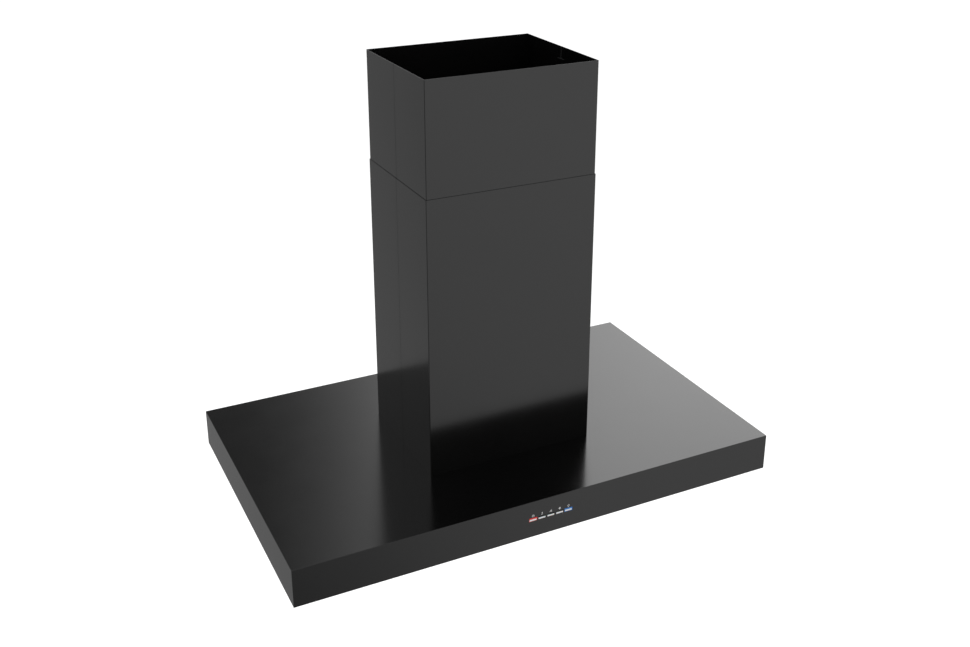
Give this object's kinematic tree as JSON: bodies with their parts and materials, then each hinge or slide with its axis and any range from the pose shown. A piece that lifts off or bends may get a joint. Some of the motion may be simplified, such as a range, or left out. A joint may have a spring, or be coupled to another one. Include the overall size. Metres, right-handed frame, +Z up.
{
  "type": "chimney range hood",
  "caption": "Island range hood: flat rectangular canopy under a telescopic chimney, with push-buttons, baffle filters, lamps and a duct collar.",
  "frame": {"origin": "centre of the canopy's lower rim", "axes": "+X along the canopy to the right as the controls are faced, +Y away from the controls, +Z up to the ceiling"},
  "size_m": [1, 0.6, 0.849],
  "materials": {
    "black_paint": "satin black paint",
    "galvanised_steel": "galvanised sheet",
    "zinc_fasteners": "zinc plated",
    "filter_frame": "satin anodised",
    "filter_baffle": "brushed",
    "latch_plastic": "fine texture",
    "moulded_black": "moulded",
    "wheel_steel": "galvanised",
    "motor_case": "lacquered",
    "shaft_steel": "ground",
    "capacitor_can": "drawn can",
    "lamp_metal": "satin",
    "lamp_lens": "frosted",
    "button_white": "translucent white",
    "surround_red": "translucent red",
    "surround_blue": "translucent blue",
    "surround_black": "moulded black",
    "board": "printed board"
  },
  "bodies": {
    "ceiling_frame": {"ceiling_plate": "galvanised_steel", "upper_post_front_left": "galvanised_steel", "upper_post_front_right": "galvanised_steel", "upper_post_rear_left": "galvanised_steel", "upper_post_rear_right": "galvanised_steel", "plate_bolts": "zinc_fasteners"},
    "hood": {"canopy_shell": "black_paint", "underside_panel": "black_paint", "chimney_base": "galvanised_steel", "lower_sleeve_front": "black_paint", "lower_sleeve_rear": "black_paint", "frame_braces": "galvanised_steel", "height_bolts": "zinc_fasteners", "frame_screws": "zinc_fasteners", "box_screws": "zinc_fasteners", "collar_screws": "zinc_fasteners", "blower_box": "galvanised_steel", "volute_front": "moulded_black", "volute_rear": "moulded_black", "motor": "motor_case", "motor_bracket": "galvanised_steel", "outlet_collar": "moulded_black", "damper_rod": "shaft_steel", "terminal_box": "moulded_black", "capacitor": "capacitor_can", "control_housing": "moulded_black", "control_board": "board", "button_surrounds_black": "surround_black", "button_surround_off": "surround_red", "button_surround_light": "surround_blue", "lower_post_front_left": "galvanised_steel", "lamp_housing_front_left": "lamp_metal", "lamp_lens_front_left": "lamp_lens", "lower_post_front_right": "galvanised_steel", "lamp_housing_front_right": "lamp_metal", "lamp_lens_front_right": "lamp_lens", "lower_post_rear_left": "galvanised_steel", "lamp_housing_rear_left": "lamp_metal", "lamp_lens_rear_left": "lamp_lens", "lower_post_rear_right": "galvanised_steel", "lamp_housing_rear_right": "lamp_metal", "lamp_lens_rear_right": "lamp_lens"},
    "upper_sleeve": {"upper_sleeve_front": "black_paint", "upper_sleeve_rear": "black_paint"},
    "blower_wheel": {"impeller": "wheel_steel", "motor_shaft": "shaft_steel"},
    "damper_left": {"damper_flap_left": "moulded_black"},
    "damper_right": {"damper_flap_right": "moulded_black"},
    "filter_left": {"filter_frame_left": "filter_frame", "filter_baffles_left": "filter_baffle"},
    "latch_left": {"filter_latch_left": "latch_plastic"},
    "filter_right": {"filter_frame_right": "filter_frame", "filter_baffles_right": "filter_baffle"},
    "latch_right": {"filter_latch_right": "latch_plastic"},
    "button_off": {"button_off": "button_white"},
    "button_speed_low": {"button_speed_low": "button_white"},
    "button_speed_mid": {"button_speed_mid": "button_white"},
    "button_speed_high": {"button_speed_high": "button_white"},
    "button_light": {"button_light": "button_white"}
  },
  "joints": [
    {"name": "hood_height", "type": "slide", "parent": "ceiling_frame", "child": "hood", "axis": [0, 0, -1], "range_m": [-0.06, 0.384]},
    {"name": "upper_sleeve_slide", "type": "slide", "parent": "hood", "child": "upper_sleeve", "axis": [0, 0, 1], "range_m": [-0.205, 0.24]},
    {"name": "wheel_spin", "type": "hinge", "parent": "hood", "child": "blower_wheel", "pos_m": [-0.045, 0, 0.215], "axis": [0, -1, 0], "continuous": true},
    {"name": "damper_left_swing", "type": "hinge", "parent": "hood", "child": "damper_left", "pos_m": [0.04646, 0, 0.388], "axis": [0, 1, 0], "range_deg": [0, 75]},
    {"name": "damper_right_swing", "type": "hinge", "parent": "hood", "child": "damper_right", "pos_m": [0.04646, 0, 0.388], "axis": [0, -1, 0], "range_deg": [0, 75]},
    {"name": "filter_left_tilt", "type": "hinge", "parent": "hood", "child": "filter_left", "pos_m": [-0.174, 0.152, 0.0223], "axis": [1, 0, 0], "range_deg": [0, 70]},
    {"name": "filter_right_tilt", "type": "hinge", "parent": "hood", "child": "filter_right", "pos_m": [0.174, 0.152, 0.0223], "axis": [1, 0, 0], "range_deg": [0, 70]},
    {"name": "latch_left_slide", "type": "slide", "parent": "filter_left", "child": "latch_left", "axis": [0, 1, 0], "range_m": [0, 0.0075], "stiffness_N_per_m": 300, "springref_m": -0.004},
    {"name": "latch_right_slide", "type": "slide", "parent": "filter_right", "child": "latch_right", "axis": [0, 1, 0], "range_m": [0, 0.0075], "stiffness_N_per_m": 300, "springref_m": -0.004},
    {"name": "button_off_press", "type": "slide", "parent": "hood", "child": "button_off", "axis": [0, 1, 0], "range_m": [0, 0.001], "stiffness_N_per_m": 500, "springref_m": -0.002},
    {"name": "button_speed_low_press", "type": "slide", "parent": "hood", "child": "button_speed_low", "axis": [0, 1, 0], "range_m": [0, 0.001], "stiffness_N_per_m": 500, "springref_m": -0.002},
    {"name": "button_speed_mid_press", "type": "slide", "parent": "hood", "child": "button_speed_mid", "axis": [0, 1, 0], "range_m": [0, 0.001], "stiffness_N_per_m": 500, "springref_m": -0.002},
    {"name": "button_speed_high_press", "type": "slide", "parent": "hood", "child": "button_speed_high", "axis": [0, 1, 0], "range_m": [0, 0.001], "stiffness_N_per_m": 500, "springref_m": -0.002},
    {"name": "button_light_press", "type": "slide", "parent": "hood", "child": "button_light", "axis": [0, 1, 0], "range_m": [0, 0.001], "stiffness_N_per_m": 500, "springref_m": -0.002}
  ]
}
